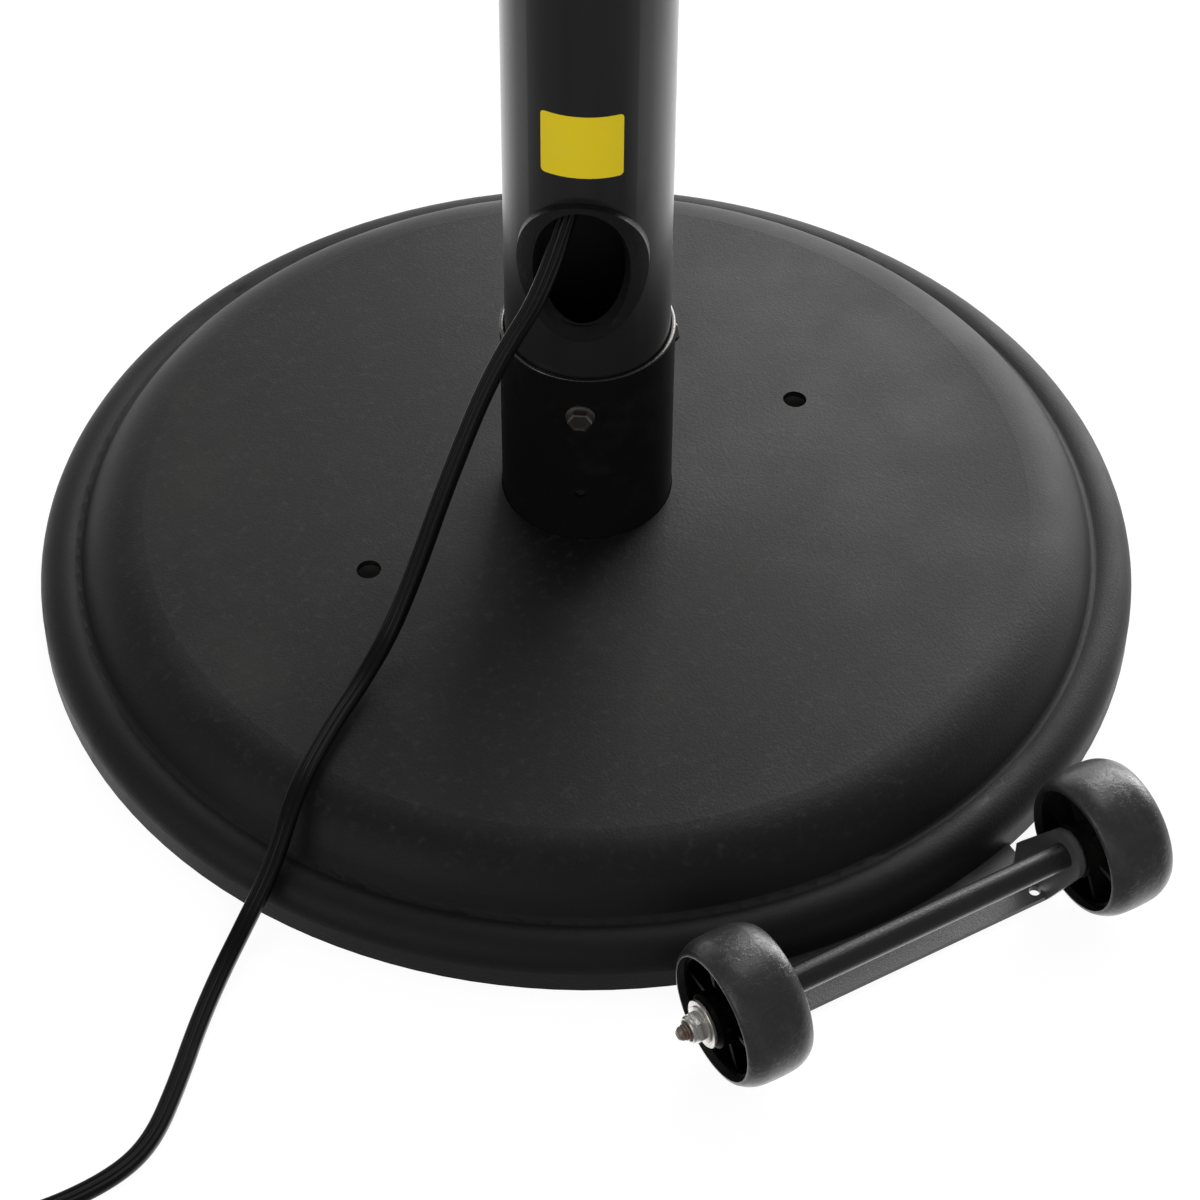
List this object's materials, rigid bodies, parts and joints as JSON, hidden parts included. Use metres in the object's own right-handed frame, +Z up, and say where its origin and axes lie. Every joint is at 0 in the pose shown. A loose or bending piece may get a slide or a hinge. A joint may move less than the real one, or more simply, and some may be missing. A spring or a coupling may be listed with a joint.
{
  "type": "infrared patio heater",
  "caption": "Free-standing electric infrared patio heater: weighted round base with transport wheels, tall pole, cable port and tilting lamp head",
  "frame": {"origin": "centre of the base's resting face, on the pole's axis", "axes": "+Z up the pole, +Y towards the transport wheels, X along their axle; the head faces -Y"},
  "size_m": [0.8294, 0.6075, 2.1015],
  "materials": {
    "cover_plastic": "moulded black plastic with a fine leather grain",
    "black_plastic": "moulded black plastic",
    "hub_plastic": "moulded black plastic",
    "powder_coat": "pebbled matt black powder coat",
    "pole_paint": "smooth satin black paint",
    "head_paint": "satin black paint",
    "plated_steel": "bright zinc plate",
    "worn_steel": "threaded rod with some rust",
    "black_bolts": "black bolts with worn edges",
    "concrete": "cast concrete",
    "tyre_rubber": "dark grey rubber, scuffed and dusty",
    "grommet_rubber": "matt dark grey rubber",
    "polished_aluminium": "polished",
    "quartz": "clear quartz",
    "carbon": "dark carbon fibre ribbon",
    "holder_ceramic": "unglazed white ceramic",
    "guard_chrome": "plated wire",
    "cord_jacket": "black flexible jacket",
    "tie_plastic": "black band",
    "plug_plastic": "moulded black plastic",
    "pin_brass": "plated brass",
    "switch_plastic": "moulded black plastic"
  },
  "bodies": {
    "stand": {"base_cover": "cover_plastic", "pole_cap": "black_plastic", "pole_gland": "black_plastic", "base_plate": "powder_coat", "foot_socket": "powder_coat", "axle_sleeve": "powder_coat", "wheel_bracket": "powder_coat", "tilt_fork": "powder_coat", "lower_pole": "pole_paint", "upper_pole": "pole_paint", "pole_coupler": "plated_steel", "base_bolts": "plated_steel", "base_nuts": "plated_steel", "cover_screws": "plated_steel", "bracket_screws": "plated_steel", "wheel_washers": "plated_steel", "axle_nut": "plated_steel", "socket_nuts": "plated_steel", "fork_bolts": "plated_steel", "pivot_bolt": "plated_steel", "pivot_washer": "plated_steel", "axle_bolt": "worn_steel", "socket_bolts": "black_bolts", "coupler_bolts": "black_bolts", "ballast": "concrete", "cable_grommet": "grommet_rubber", "mains_cord": "cord_jacket", "cord_coil": "cord_jacket", "inner_cable": "cord_jacket", "cord_tie": "tie_plastic", "plug_body": "plug_plastic", "plug_pins": "pin_brass"},
    "wheel_left": {"left_hub": "hub_plastic", "left_tyre": "tyre_rubber"},
    "wheel_right": {"right_hub": "hub_plastic", "right_tyre": "tyre_rubber"},
    "head": {"head_lug": "powder_coat", "lug_screws": "plated_steel", "head_housing": "head_paint", "left_end_cap": "black_plastic", "right_end_cap": "black_plastic", "end_cap_screws": "plated_steel", "reflector": "polished_aluminium", "reflector_ends": "polished_aluminium", "lamp_tube": "quartz", "carbon_ribbon": "carbon", "lamp_holders": "holder_ceramic", "front_guard": "guard_chrome", "terminal_box": "black_plastic", "box_lid": "black_plastic", "lid_screws": "plated_steel", "box_gland": "black_plastic", "terminal_block": "holder_ceramic", "switch_frame": "black_plastic"},
    "knob": {"clamp_knob": "black_plastic"},
    "rocker": {"power_switch": "switch_plastic"}
  },
  "joints": [
    {"name": "left_wheel_spin", "type": "hinge", "parent": "stand", "child": "wheel_left", "pos_m": [-0.093, 0.2944, 0.0393], "axis": [1, 0, 0], "continuous": true},
    {"name": "right_wheel_spin", "type": "hinge", "parent": "stand", "child": "wheel_right", "pos_m": [0.093, 0.2944, 0.0393], "axis": [1, 0, 0], "continuous": true},
    {"name": "head_tilt", "type": "hinge", "parent": "stand", "child": "head", "pos_m": [0, 0, 1.99], "axis": [1, 0, 0], "range_deg": [0, 45]},
    {"name": "clamp_knob_turn", "type": "hinge", "parent": "stand", "child": "knob", "pos_m": [0.0489, 0, 1.99], "axis": [1, 0, 0], "range_deg": [0, 360]},
    {"name": "power_switch_rock", "type": "hinge", "parent": "head", "child": "rocker", "pos_m": [0.112, -0.0075, 2.034], "axis": [1, 0, 0], "range_deg": [0, 24]}
  ]
}
